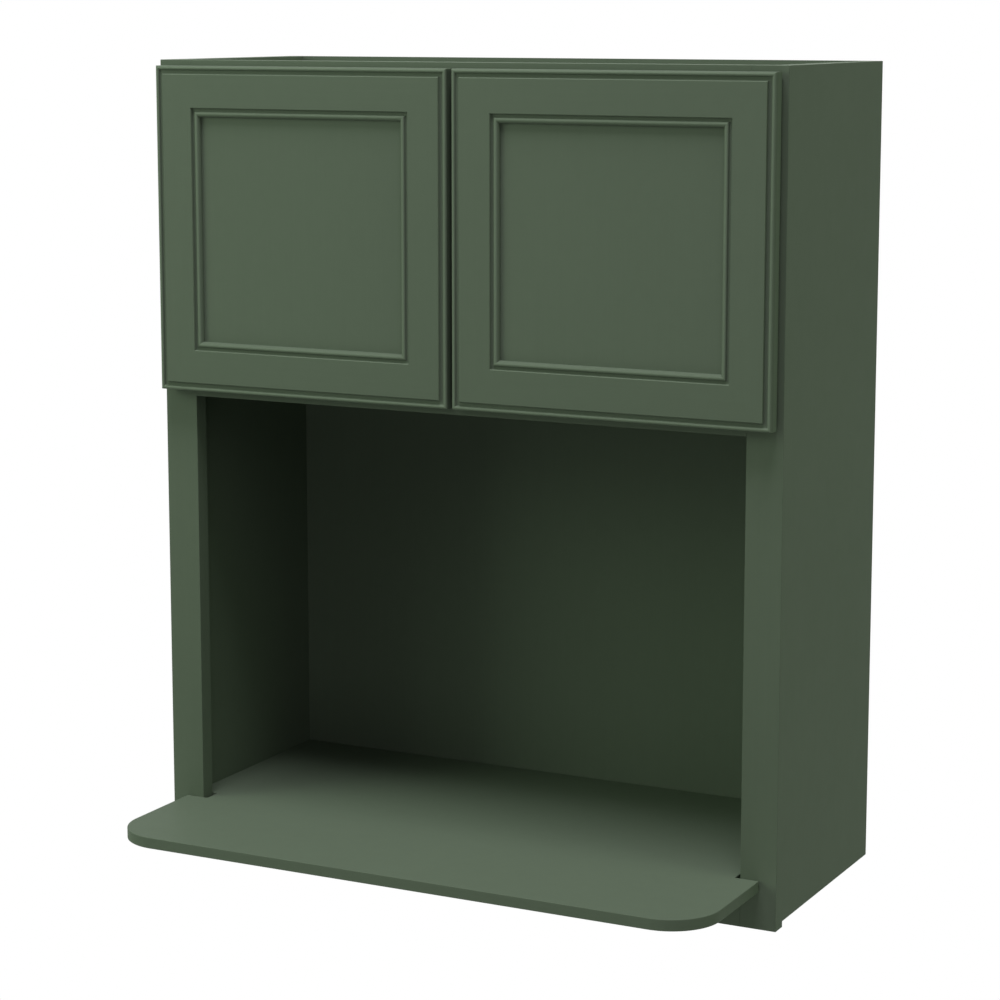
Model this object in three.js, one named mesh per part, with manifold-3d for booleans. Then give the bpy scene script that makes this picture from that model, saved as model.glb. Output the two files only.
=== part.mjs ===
// A framed wall cabinet: a pair of moulded doors over an open bay, whose floor is a deep shelf
// that runs out past the frame to carry a microwave oven.
//
// Millimetres. X runs along the width, +Y to the wall, +Z up. The pieces are laid out from X = 0 in
// the middle of the cabinet, Y = 0 at the front of the face frame and Z = 0 at its bottom edge, and
// the whole is then moved so that its origin is the middle of the back, on the wall.
import * as THREE from "three";
import { mergeVertices } from "three/addons/utils/BufferGeometryUtils.js";
import Module from "manifold-3d";

const wasm = await Module();
wasm.setup();

// ---------------------------------------------------------------- driving dimensions

// Cabinet
const cabinetWidth = 762;
const cabinetHeight = 914.4;
const cabinetDepth = 285.75; // front of the face frame to the wall

// Face frame
const frameThickness = 19.05;
const stileWidth = 41.3;
const topRailHeight = 41.3;
const middleRailHeight = 41.3;
const bottomRailHeight = 41.3;
const bayHeight = 490; // clear height between the bottom and middle rails
const tenonLength = 14;
const tenonThickness = 6.4;
const tenonShoulder = 7; // the rail's height that the tenon leaves free on each edge

// Boards of the box
const sideThickness = 19.05;
const sideLift = 6.35; // the sides stop this far above the frame's bottom edge
const topThickness = 12.7;
const topRecess = 12.7; // the top board lies this far below the rim
const deckThickness = 12.7;
const bottomThickness = 12.7;
const backThickness = 4.8;
const backRabbet = 9.5; // how far the back runs into each side
const dadoDepth = 6.35;
const hangRailThickness = 12.7;
const upperHangRailHeight = 76.2;

// Oven shelf
const shelfThickness = 12.7;
const shelfOverhang = 165.1; // how far it stands out in front of the frame
const shelfCornerRadius = 57;
const shelfNotchPlay = 5.4; // open space beside each stile
const shelfNotchBack = 2; // open space behind each stile
const shelfFrontPlay = 0.8; // between the shelf's ears and the frame's front
const shelfSidePlay = 0.5;

// Doors
const doorReveal = 6.35; // frame left showing at the cabinet's sides and top
const doorOverlapBelow = 32.8; // how far the doors run down over the middle rail
const doorMiddleGap = 6;
const doorStandOff = 2; // door back to frame front, the height of a bumper
const doorThickness = 19.05;
const memberWidth = 57.15;
const mitreGap = 0.15;
const doorBackRound = 3.2;

// Door moulding, outside edge: a groove, then a bead that turns over the edge
const edgeMouldWidth = 9.6;
const edgeBeadWidth = 4.8;
const edgeBeadRise = 2.5;
const edgeLipDepth = 3.4;
const edgeGrooveDepth = 3;
const grooveWallRun = 0.6;

// Door moulding, inside edge: a groove, then a bead that falls to the panel
const stickingWidth = 10.3;
const stickingGrooveWidth = 4;
const stickingGrooveDepth = 3;
const stickingBeadRise = 3.3;
const stickingFoot = 5.2; // depth at which the bead meets the member's inner wall

// Door panel
const panelThickness = 6.35;
const panelRecess = 6.35;
const panelGrooveDepth = 9.5;
const panelExpansion = 1.5;
const panelFit = 0.15;

// Hinges: one-pin cup hinges whose arms wrap round the inside of the stiles
const hingeInset = 70; // door's top or bottom edge to the hinge's middle
const cupRadius = 17.5;
const cupDepth = 12.5;
const cupWall = 0.8;
const cupEdge = 3; // door edge to the cup
const cupBottomRound = 1.5;
const cupBoreClearance = 0.2;
const flangeThickness = 1;
const flangeHalfLength = 28;
const flangeInset = 16; // cup's hinge-side tangent to the flange's near edge
const flangeWidth = 21;
const flangeCornerRadius = 7;
const flangeEdgeTrim = 1.8; // the rim is cut back this far next to the door edge
const cupScrewSpacing = 42;
const cupScrewRadius = 2.1;
const pinRadius = 1.5;
const pinFromEdge = 7.4;
const pinFromBack = 9;
const pinLength = 18.8;
const pinClearance = 0.12;
const eyeRadius = 2.45;
const armWidth = 10;
const armThickness = 1.6;
const armSlotPlay = 1;
const armDrop = 1.2; // the arm runs this far on the front side of the pin
const armBendRadius = 2;
const tabLength = 38;
const tabDepth = 15.5;
const tabSetback = 1.6; // front of the frame to the tab
const tabCornerRadius = 3;
const tabScrewSpacing = 24;
const tabScrewRadius = 2.2;

// Bumpers
const bumperRadius = 4.8;
const bumperCrownRadius = 2.9; // the flat top of the dome
const bumperShoulderRadius = 4.1;
const bumperShoulderHeight = 1.5;
const bumperRimHeight = 0.9;
const bumperInset = 17;

// Clearances between fixed pieces
const glueGap = 0.2;

// Cutting and facets
const overcut = 1; // how far a cutting tool runs past the face it opens
const mergeDistance = 1e-4;
const cupSegments = 48;
const rodSegments = 24;
const holeSegments = 16;
const bumperSegments = 20;
const shelfCornerSegments = 24;
const smallRoundSegments = 5;
const beadSteps = 8;

// ---------------------------------------------------------------- derived places

const halfWidth = cabinetWidth / 2;
const insideHalf = halfWidth - sideThickness;
const openingHalf = halfWidth - stileWidth;
const frameBack = frameThickness + glueGap;
const backFront = cabinetDepth - backThickness; // the back board's face towards the room

const bayFloor = bottomRailHeight;
const middleRailBottom = bayFloor + bayHeight;
const deckTop = middleRailBottom + middleRailHeight;
const topRailBottom = cabinetHeight - topRailHeight;
const topBoardTop = cabinetHeight - topRecess;

const doorEdge = halfWidth - doorReveal;
const doorWidth = doorEdge - doorMiddleGap / 2;
const doorTop = cabinetHeight - doorReveal;
const doorBottom = deckTop - doorOverlapBelow;
const doorHeight = doorTop - doorBottom;
const doorFront = -(doorStandOff + doorThickness);

const cupCentre = cupEdge + cupRadius; // from the door's hinge edge
const stileInnerEdge = stileWidth - doorReveal; // from the door's hinge edge
const hingeHeights = { upper: doorHeight - hingeInset, lower: hingeInset };

// ---------------------------------------------------------------- finishes

const paint = new THREE.MeshStandardMaterial({ color: 0x55604f, roughness: 0.42, metalness: 0 });
const plywood = new THREE.MeshStandardMaterial({ color: 0xc8a878, roughness: 0.7, metalness: 0 });
const nickel = new THREE.MeshStandardMaterial({ color: 0xb9b8b2, roughness: 0.32, metalness: 1 });
const clearRubber = new THREE.MeshStandardMaterial({ color: 0xd8d8d2, roughness: 0.5, metalness: 0 });

// ---------------------------------------------------------------- solids

/** A manifold solid from any closed three.js geometry. */
function toSolid(geometry) {
  const bare = new THREE.BufferGeometry();
  bare.setAttribute("position", geometry.getAttribute("position"));
  if (geometry.index) bare.setIndex(geometry.index);
  const merged = mergeVertices(bare, mergeDistance);
  return new wasm.Manifold(
    new wasm.Mesh({
      numProp: 3,
      vertProperties: new Float32Array(merged.attributes.position.array),
      triVerts: new Uint32Array(merged.index.array),
    }),
  );
}

/** A three.js geometry from a manifold solid, shaded flat. */
function toGeometry(solid) {
  const { vertProperties, triVerts } = solid.getMesh();
  const geometry = new THREE.BufferGeometry();
  geometry.setAttribute("position", new THREE.BufferAttribute(new Float32Array(vertProperties), 3));
  geometry.setIndex(new THREE.BufferAttribute(new Uint32Array(triVerts), 1));
  const flat = geometry.toNonIndexed();
  flat.computeVertexNormals();
  return flat;
}

/** A rectangular board between two opposite corners. */
function board([x0, y0, z0], [x1, y1, z1]) {
  const geometry = new THREE.BoxGeometry(x1 - x0, y1 - y0, z1 - z0);
  return geometry.translate((x0 + x1) / 2, (y0 + y1) / 2, (z0 + z1) / 2);
}

/** The first geometry with each of the others cut away from it. */
function cut(geometry, ...tools) {
  let solid = toSolid(geometry);
  for (const tool of tools) solid = solid.subtract(toSolid(tool));
  return toGeometry(solid);
}

/** All the geometries joined into one. */
function join(...geometries) {
  const solids = geometries.map(toSolid);
  return toGeometry(solids.reduce((whole, part) => whole.add(part)));
}

function extrude(shape, depth, curveSegments = smallRoundSegments) {
  return new THREE.ExtrudeGeometry(shape, { depth, bevelEnabled: false, curveSegments });
}

/** A cylinder along Y or Z between two positions on that axis. */
function rod(radius, axis, centre, from, to, segments = rodSegments) {
  const geometry = new THREE.CylinderGeometry(radius, radius, to - from, segments);
  if (axis === "z") geometry.rotateX(Math.PI / 2);
  const [u, v] = centre;
  const middle = (from + to) / 2;
  return axis === "z" ? geometry.translate(u, v, middle) : geometry.translate(u, middle, v);
}

function roundedRectangle(x0, y0, x1, y1, radius) {
  const shape = new THREE.Shape();
  shape.moveTo(x0 + radius, y0);
  shape.lineTo(x1 - radius, y0).absarc(x1 - radius, y0 + radius, radius, -Math.PI / 2, 0, false);
  shape.lineTo(x1, y1 - radius).absarc(x1 - radius, y1 - radius, radius, 0, Math.PI / 2, false);
  shape.lineTo(x0 + radius, y1).absarc(x0 + radius, y1 - radius, radius, Math.PI / 2, Math.PI, false);
  shape.lineTo(x0, y0 + radius).absarc(x0 + radius, y0 + radius, radius, Math.PI, 1.5 * Math.PI, false);
  return shape;
}

function piece(parent, name, material, geometry) {
  const mesh = new THREE.Mesh(geometry, material);
  mesh.name = name;
  parent.add(mesh);
  return mesh;
}

// ---------------------------------------------------------------- face frame

/** Bottom and top of each rail, from the bottom of the frame up. */
const rails = {
  bottom_rail: [0, bottomRailHeight],
  middle_rail: [middleRailBottom, deckTop],
  top_rail: [topRailBottom, cabinetHeight],
};

/** A rail between the stiles, with a stub tenon on each end. */
function railGeometry([bottom, top]) {
  const shoulder = openingHalf - glueGap;
  const tenonFront = (frameThickness - tenonThickness) / 2;
  const body = board([-shoulder, 0, bottom], [shoulder, frameThickness, top]);
  const tenonEnd = openingHalf + tenonLength;
  const tenon = board(
    [-tenonEnd, tenonFront, bottom + tenonShoulder],
    [tenonEnd, tenonFront + tenonThickness, top - tenonShoulder],
  );
  return join(body, tenon);
}

/** The right-hand stile, mortised for the three rails; a negative hand gives the left one. */
function stileGeometry(hand) {
  const inner = hand * openingHalf;
  const outer = hand * halfWidth;
  const blank = board(
    [Math.min(inner, outer), 0, 0],
    [Math.max(inner, outer), frameThickness, cabinetHeight],
  );
  const mortiseEnd = hand * (openingHalf + tenonLength + glueGap);
  const mortiseFront = (frameThickness - tenonThickness) / 2 - glueGap;
  const mortiseBack = (frameThickness + tenonThickness) / 2 + glueGap;
  const mouth = inner - hand * glueGap;
  const mortises = Object.values(rails).map(([bottom, top]) =>
    board(
      [Math.min(mouth, mortiseEnd), mortiseFront, bottom + tenonShoulder - glueGap],
      [Math.max(mouth, mortiseEnd), mortiseBack, top - tenonShoulder + glueGap],
    ),
  );
  return cut(blank, ...mortises);
}

function addFaceFrame(parent) {
  piece(parent, "left_stile", paint, stileGeometry(-1));
  piece(parent, "right_stile", paint, stileGeometry(1));
  for (const [name, span] of Object.entries(rails)) piece(parent, name, paint, railGeometry(span));
}

// ---------------------------------------------------------------- box

/** Bottom and top of each board that is let into the sides. */
const levels = {
  bottom_panel: [bayFloor - bottomThickness, bayFloor],
  deck_panel: [deckTop - deckThickness, deckTop],
  top_panel: [topBoardTop - topThickness, topBoardTop],
};

/** A side board: dadoed across for the three levels and rabbeted up its rear edge for the back. */
function sideGeometry(hand) {
  const blank = board(
    [Math.min(hand * insideHalf, hand * halfWidth), frameBack, sideLift],
    [Math.max(hand * insideHalf, hand * halfWidth), cabinetDepth, cabinetHeight],
  );
  const mouth = hand * (insideHalf - glueGap);
  const dadoEnd = hand * (insideHalf + dadoDepth);
  const dados = Object.values(levels).map(([bottom, top]) =>
    board(
      [Math.min(mouth, dadoEnd), frameBack - glueGap, bottom - glueGap],
      [Math.max(mouth, dadoEnd), backFront, top + glueGap],
    ),
  );
  const rabbetEnd = hand * (insideHalf + backRabbet);
  const rabbet = board(
    [Math.min(mouth, rabbetEnd), backFront - glueGap, sideLift - glueGap],
    [Math.max(mouth, rabbetEnd), cabinetDepth + glueGap, cabinetHeight + glueGap],
  );
  return cut(blank, rabbet, ...dados);
}

/** A level board, its ends seated in the sides' dados. */
function levelGeometry([bottom, top]) {
  const end = insideHalf + dadoDepth - glueGap;
  return board([-end, frameBack, bottom], [end, backFront - 2 * glueGap, top]);
}

function backGeometry() {
  const edge = insideHalf + backRabbet - glueGap;
  return board([-edge, backFront, sideLift], [edge, cabinetDepth, cabinetHeight]);
}

/** A fixing rail between the sides, glued to the face of the back, for the wall screws. */
function hangRailGeometry(bottom, top) {
  const end = insideHalf - glueGap;
  const rear = backFront - glueGap;
  return board([-end, rear - hangRailThickness, bottom], [end, rear, top]);
}

function addBox(parent) {
  piece(parent, "left_side_panel", paint, sideGeometry(-1));
  piece(parent, "right_side_panel", paint, sideGeometry(1));
  for (const [name, span] of Object.entries(levels)) piece(parent, name, paint, levelGeometry(span));
  piece(parent, "back_panel", paint, backGeometry());
  const upperTop = topBoardTop - topThickness - glueGap;
  const upper = hangRailGeometry(upperTop - upperHangRailHeight, upperTop);
  piece(parent, "upper_hanging_rail", plywood, upper);
  const lower = hangRailGeometry(sideLift, bayFloor - bottomThickness - glueGap);
  piece(parent, "lower_hanging_rail", plywood, lower);
}

// ---------------------------------------------------------------- oven shelf

/** Half of the shelf's plan, from its back edge round the notch and the ear to the front. */
function shelfOutline() {
  const side = insideHalf - shelfSidePlay;
  const notchSide = openingHalf - shelfNotchPlay;
  const notchBack = frameThickness + shelfNotchBack;
  const rear = backFront - shelfSidePlay;
  const front = -shelfOverhang;
  const shape = new THREE.Shape();
  shape.moveTo(-side, rear).lineTo(-side, notchBack).lineTo(-notchSide, notchBack);
  shape.lineTo(-notchSide, -shelfFrontPlay).lineTo(-side, -shelfFrontPlay);
  shape.lineTo(-side, front + shelfCornerRadius);
  const cornerX = side - shelfCornerRadius;
  const cornerY = front + shelfCornerRadius;
  shape.absarc(-cornerX, cornerY, shelfCornerRadius, Math.PI, 1.5 * Math.PI, false);
  shape.lineTo(cornerX, front);
  shape.absarc(cornerX, cornerY, shelfCornerRadius, 1.5 * Math.PI, 2 * Math.PI, false);
  shape.lineTo(side, -shelfFrontPlay).lineTo(notchSide, -shelfFrontPlay);
  shape.lineTo(notchSide, notchBack).lineTo(side, notchBack).lineTo(side, rear);
  return shape;
}

function addShelf(parent) {
  const slab = extrude(shelfOutline(), shelfThickness, shelfCornerSegments);
  const shelf = piece(parent, "microwave_shelf", paint, slab);
  shelf.position.z = bayFloor + glueGap;
}

// ---------------------------------------------------------------- doors

/** Points of a rounded bead between two points of a section, standing out towards the front. */
function bead([fromX, fromDepth], [toX, toDepth], rise) {
  return Array.from({ length: beadSteps + 1 }, (_, i) => {
    const along = i / beadSteps;
    const x = fromX + ((toX - fromX) * (1 - Math.cos(Math.PI * along))) / 2;
    const depth = fromDepth + (toDepth - fromDepth) * along;
    return new THREE.Vector2(x, depth - rise * Math.sin(Math.PI * along));
  });
}

/** Section of a door member: X from the door's edge inwards, Y from the front face back. */
function memberSection() {
  const sticking = memberWidth - stickingWidth;
  const grooveFloor = memberWidth - panelGrooveDepth;
  const shape = new THREE.Shape();
  shape.moveTo(edgeMouldWidth, 0).lineTo(sticking, 0);
  shape.lineTo(sticking + grooveWallRun, stickingGrooveDepth);
  const stickingBead = bead(
    [sticking + stickingGrooveWidth, stickingGrooveDepth],
    [memberWidth, stickingFoot],
    stickingBeadRise,
  );
  for (const point of stickingBead) shape.lineTo(point.x, point.y);
  shape.lineTo(memberWidth, panelRecess - panelFit).lineTo(grooveFloor, panelRecess - panelFit);
  const grooveBack = panelRecess + panelThickness + panelFit;
  shape.lineTo(grooveFloor, grooveBack).lineTo(memberWidth, grooveBack);
  shape.lineTo(memberWidth, doorThickness).lineTo(doorBackRound, doorThickness);
  shape.absarc(doorBackRound, doorThickness - doorBackRound, doorBackRound, Math.PI / 2, Math.PI, false);
  const edgeBead = bead([0, edgeLipDepth], [edgeBeadWidth, edgeGrooveDepth], edgeBeadRise);
  for (const point of edgeBead) shape.lineTo(point.x, point.y);
  shape.lineTo(edgeMouldWidth - grooveWallRun, edgeGrooveDepth).lineTo(edgeMouldWidth, 0);
  return shape;
}

/** A moulded door member of the given outer length, along Z, with both ends mitred at 45 degrees. */
function memberGeometry(length) {
  const geometry = extrude(memberSection(), length);
  const position = geometry.getAttribute("position");
  for (let i = 0; i < position.count; i++) {
    const run = position.getX(i) + mitreGap;
    position.setZ(i, position.getZ(i) > length / 2 ? length - run : run);
  }
  geometry.computeVertexNormals();
  return geometry;
}

/** The bores in the hinge stile that take the cups. */
function cupBores() {
  const radius = cupRadius + cupBoreClearance;
  const bottom = doorThickness - cupDepth - cupBoreClearance;
  return Object.values(hingeHeights).map((height) =>
    rod(radius, "y", [cupCentre, height], bottom, doorThickness + overcut, cupSegments),
  );
}

/**
 * One door with its half of the hinges. In the door's own frame X runs from the hinge edge
 * towards the other door, Y from the front face back and Z up from the bottom edge. The
 * right-hand door is the left-hand one mirrored.
 */
function addDoor(parent, side, hand) {
  const door = new THREE.Group();
  door.position.set(hand * doorEdge, doorFront, doorBottom);
  door.scale.x = -hand;
  parent.add(door);

  const hingeStile = cut(memberGeometry(doorHeight), ...cupBores());
  piece(door, `${side}_door_hinge_stile`, paint, hingeStile);

  const lockStile = piece(door, `${side}_door_lock_stile`, paint, memberGeometry(doorHeight));
  lockStile.rotation.y = Math.PI;
  lockStile.position.set(doorWidth, 0, doorHeight);

  const topRail = piece(door, `${side}_door_top_rail`, paint, memberGeometry(doorWidth));
  topRail.rotation.y = Math.PI / 2;
  topRail.position.z = doorHeight;

  const bottomRail = piece(door, `${side}_door_bottom_rail`, paint, memberGeometry(doorWidth));
  bottomRail.rotation.y = -Math.PI / 2;
  bottomRail.position.x = doorWidth;

  const panelEdge = memberWidth - panelGrooveDepth + panelExpansion;
  const panel = board(
    [panelEdge, panelRecess, panelEdge],
    [doorWidth - panelEdge, panelRecess + panelThickness, doorHeight - panelEdge],
  );
  piece(door, `${side}_door_panel`, paint, panel);

  for (const [level, height] of Object.entries(hingeHeights)) {
    const cup = piece(door, `${side}_${level}_hinge_cup`, nickel, cupGeometry());
    cup.position.z = height;
    const pin = piece(door, `${side}_${level}_hinge_pin`, nickel, pinGeometry());
    pin.position.z = height;
    const bumper = piece(door, `${side}_${level}_bumper`, clearRubber, bumperGeometry());
    const bumperHeight = level === "upper" ? doorHeight - bumperInset : bumperInset;
    bumper.position.set(doorWidth - bumperInset, doorThickness + glueGap / 2, bumperHeight);
  }
}

/** A low dome that keeps the door off the frame. */
function bumperGeometry() {
  const height = doorStandOff - glueGap;
  const profile = [
    new THREE.Vector2(0, 0),
    new THREE.Vector2(bumperRadius, 0),
    new THREE.Vector2(bumperRadius, bumperRimHeight),
    new THREE.Vector2(bumperShoulderRadius, bumperShoulderHeight),
    new THREE.Vector2(bumperCrownRadius, height),
    new THREE.Vector2(0, height),
  ];
  return new THREE.LatheGeometry(profile, bumperSegments);
}

// ---------------------------------------------------------------- hinges

const pinDepth = doorThickness - pinFromBack; // the pin's axis, from the door's front
const armCentre = pinDepth - armDrop;
const armFront = armCentre - armThickness / 2;
const armBack = armCentre + armThickness / 2;
const tabNear = stileInnerEdge + glueGap; // the tab lies along the stile's inner edge
const tabFar = tabNear + armThickness;

/** The pressed cup, with its screw flange and the slots that the arm swings through. */
function cupGeometry() {
  const inner = cupRadius - cupWall;
  const bottom = doorThickness - cupDepth;
  const rim = doorThickness + flangeThickness;
  const profile = [
    new THREE.Vector2(0, bottom),
    new THREE.Vector2(cupRadius - cupBottomRound, bottom),
    new THREE.Vector2(cupRadius, bottom + cupBottomRound),
    new THREE.Vector2(cupRadius, rim),
    new THREE.Vector2(inner, rim),
    new THREE.Vector2(inner, bottom + cupWall + cupBottomRound),
    new THREE.Vector2(inner - cupBottomRound, bottom + cupWall),
    new THREE.Vector2(0, bottom + cupWall),
  ];
  const bowl = new THREE.LatheGeometry(profile, cupSegments).translate(cupCentre, 0, 0);
  const flangeNear = cupEdge + flangeInset;
  const plate = roundedRectangle(
    flangeNear,
    -flangeHalfLength,
    flangeNear + flangeWidth,
    flangeHalfLength,
    flangeCornerRadius,
  );
  const flange = extrude(plate, flangeThickness).rotateX(Math.PI / 2).translate(0, rim, 0);
  const mouth = rod(inner, "y", [cupCentre, 0], doorThickness - overcut, rim + overcut, cupSegments);
  const slotHalf = armWidth / 2 + armSlotPlay;
  const armSlot = board(
    [tabNear - armSlotPlay, bottom + cupWall + glueGap, -slotHalf],
    [memberWidth, rim + overcut, slotHalf],
  );
  const rimTrim = board(
    [0, doorThickness, -cupRadius],
    [cupEdge + flangeEdgeTrim, rim + overcut, cupRadius],
  );
  const pinHole = rod(pinRadius + pinClearance, "z", [pinFromEdge, pinDepth], -pinLength, pinLength);
  const flangeScrewX = flangeNear + flangeWidth / 2;
  const screwHoles = [-1, 1].map((end) =>
    rod(
      cupScrewRadius,
      "y",
      [flangeScrewX, (end * cupScrewSpacing) / 2],
      doorThickness - overcut,
      rim + overcut,
      holeSegments,
    ),
  );
  return cut(join(bowl, cut(flange, mouth)), armSlot, rimTrim, pinHole, ...screwHoles);
}

function pinGeometry() {
  return rod(pinRadius, "z", [pinFromEdge, pinDepth], -pinLength / 2, pinLength / 2);
}

/** The arm: an eye on the pin, a strip that leaves the cup and a tab on the stile's inner edge. */
function armGeometry() {
  const frameFront = doorThickness + doorStandOff;
  const tabBack = frameFront + tabSetback + tabDepth;
  const bendX = tabNear - armBendRadius;
  const bendY = armBack + armBendRadius;
  const strip = new THREE.Shape();
  strip.moveTo(pinFromEdge, armFront).lineTo(bendX, armFront);
  strip.absarc(bendX, bendY, armBendRadius + armThickness, -Math.PI / 2, 0, false);
  strip.lineTo(tabFar, tabBack).lineTo(tabNear, tabBack).lineTo(tabNear, bendY);
  strip.absarc(bendX, bendY, armBendRadius, 0, -Math.PI / 2, true);
  strip.lineTo(pinFromEdge, armBack);
  const stripBody = extrude(strip, armWidth).translate(0, 0, -armWidth / 2);
  const eye = rod(eyeRadius, "z", [pinFromEdge, pinDepth], -armWidth / 2, armWidth / 2);
  const bore = rod(pinRadius + pinClearance, "z", [pinFromEdge, pinDepth], -armWidth, armWidth);
  const tabShape = roundedRectangle(
    frameFront + tabSetback,
    -tabLength / 2,
    tabBack,
    tabLength / 2,
    tabCornerRadius,
  );
  // The tab's outline is drawn in Y and Z, then stood up so that its thickness runs along X.
  const tab = extrude(tabShape, armThickness)
    .rotateX(Math.PI / 2)
    .rotateZ(Math.PI / 2)
    .translate(tabFar, 0, 0);
  const screwY = frameFront + tabSetback + tabDepth / 2;
  const screwHoles = [-1, 1].map((end) =>
    new THREE.CylinderGeometry(tabScrewRadius, tabScrewRadius, armThickness + 2 * overcut, holeSegments)
      .rotateZ(Math.PI / 2)
      .translate((tabNear + tabFar) / 2, screwY, (end * tabScrewSpacing) / 2),
  );
  return cut(join(stripBody, eye, tab), bore, ...screwHoles);
}

/** The arms stay with the cabinet, each in line with the closed door's cup. */
function addArms(parent, side, hand) {
  for (const [level, height] of Object.entries(hingeHeights)) {
    const arm = piece(parent, `${side}_${level}_hinge_arm`, nickel, armGeometry());
    arm.position.set(hand * doorEdge, doorFront, doorBottom + height);
    arm.scale.x = -hand;
  }
}

// ---------------------------------------------------------------- assembly

const cabinet = new THREE.Group();
addFaceFrame(cabinet);
addBox(cabinet);
addShelf(cabinet);
for (const [side, hand] of [
  ["left", -1],
  ["right", 1],
]) {
  addDoor(cabinet, side, hand);
  addArms(cabinet, side, hand);
}

const part = new THREE.Group();
cabinet.position.set(0, -cabinetDepth, -(sideLift + cabinetHeight) / 2);
part.add(cabinet);

export default part;
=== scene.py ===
"""A framed microwave wall cabinet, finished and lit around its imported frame.

The boards, doors and hinges are the frame's own pieces. This script eases their edges, paints,
varnishes and plates them, closes their joints, drives screws and staples and sets up the studio.
"""

import logging
import math
from dataclasses import dataclass, field
from enum import Enum
from functools import partial
from typing import NamedTuple, Sequence

import bmesh
import bpy
from mathutils import Matrix, Vector


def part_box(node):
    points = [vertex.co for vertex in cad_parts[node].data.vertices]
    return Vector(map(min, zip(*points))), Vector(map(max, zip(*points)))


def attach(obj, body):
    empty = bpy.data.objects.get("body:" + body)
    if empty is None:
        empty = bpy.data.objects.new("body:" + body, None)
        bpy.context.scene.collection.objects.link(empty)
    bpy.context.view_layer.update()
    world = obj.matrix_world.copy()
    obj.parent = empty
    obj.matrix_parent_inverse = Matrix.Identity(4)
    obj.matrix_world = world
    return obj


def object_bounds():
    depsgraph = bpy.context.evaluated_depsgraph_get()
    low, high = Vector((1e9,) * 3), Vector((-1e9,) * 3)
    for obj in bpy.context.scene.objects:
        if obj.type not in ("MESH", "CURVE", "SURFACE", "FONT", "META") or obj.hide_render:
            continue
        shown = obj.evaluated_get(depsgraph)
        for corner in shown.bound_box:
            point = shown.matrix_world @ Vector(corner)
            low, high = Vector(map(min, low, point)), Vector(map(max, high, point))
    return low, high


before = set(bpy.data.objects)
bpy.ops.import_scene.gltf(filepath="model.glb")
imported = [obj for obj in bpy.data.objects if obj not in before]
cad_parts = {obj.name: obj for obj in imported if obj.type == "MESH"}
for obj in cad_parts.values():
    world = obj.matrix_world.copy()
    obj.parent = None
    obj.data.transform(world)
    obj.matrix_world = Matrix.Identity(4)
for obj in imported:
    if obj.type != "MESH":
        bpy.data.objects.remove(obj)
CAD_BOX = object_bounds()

log = logging.getLogger("cabinet")
MM = 0.001
SAME_SPOT = 0.002 * MM

Colour = tuple[float, float, float]
Span = tuple[float, float]
Socket = bpy.types.NodeSocket
Value = float | Sequence[float] | Socket


def screen_colour(red: float, green: float, blue: float) -> Colour:
    """A colour as a screen shows it, turned into linear light.

    Args:
        red: Red from 0 to 255.
        green: Green from 0 to 255.
        blue: Blue from 0 to 255.

    Returns:
        The three linear values, from 0 to 1.
    """
    shown = (red / 255, green / 255, blue / 255)
    return tuple(v / 12.92 if v <= 0.04045 else ((v + 0.055) / 1.055) ** 2.4 for v in shown)


def rgba(colour: Colour) -> tuple[float, float, float, float]:
    """A colour with full cover."""
    return (*colour, 1.0)


class Run(Enum):
    """The row axis that a board's grain, or its thickness, runs along."""

    ACROSS = 0
    DEEP = 1
    UP = 2


class Side(Enum):
    """The side of the cabinet that a door hangs on, and the sign of X there."""

    LEFT = -1
    RIGHT = 1

    @property
    def word(self) -> str:
        """The side's name in the frame's node names."""
        return self.name.lower()


class Mix(Enum):
    """What a mix is made of: Blender's word for it, its two inputs and its output."""

    NUMBER = ("FLOAT", 2, 3, 0)
    VECTOR = ("VECTOR", 4, 5, 1)
    COLOUR = ("RGBA", 6, 7, 2)


# ---------------------------------------------------------------- node sheets


def add_node(
    tree: bpy.types.NodeTree, kind: str, inputs: dict | None = None, **settings: object
) -> bpy.types.Node:
    """Adds a node to a tree.

    Args:
        tree: The tree.
        kind: Blender's name for the node.
        inputs: Input name or number to a value, or to the socket that feeds it.
        **settings: The node's own options.

    Returns:
        The new node.
    """
    node = tree.nodes.new(kind)
    for key, value in settings.items():
        setattr(node, key, value)
    for key, value in (inputs or {}).items():
        if isinstance(value, Socket):
            tree.links.new(value, node.inputs[key])
        else:
            node.inputs[key].default_value = value
    return node


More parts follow.
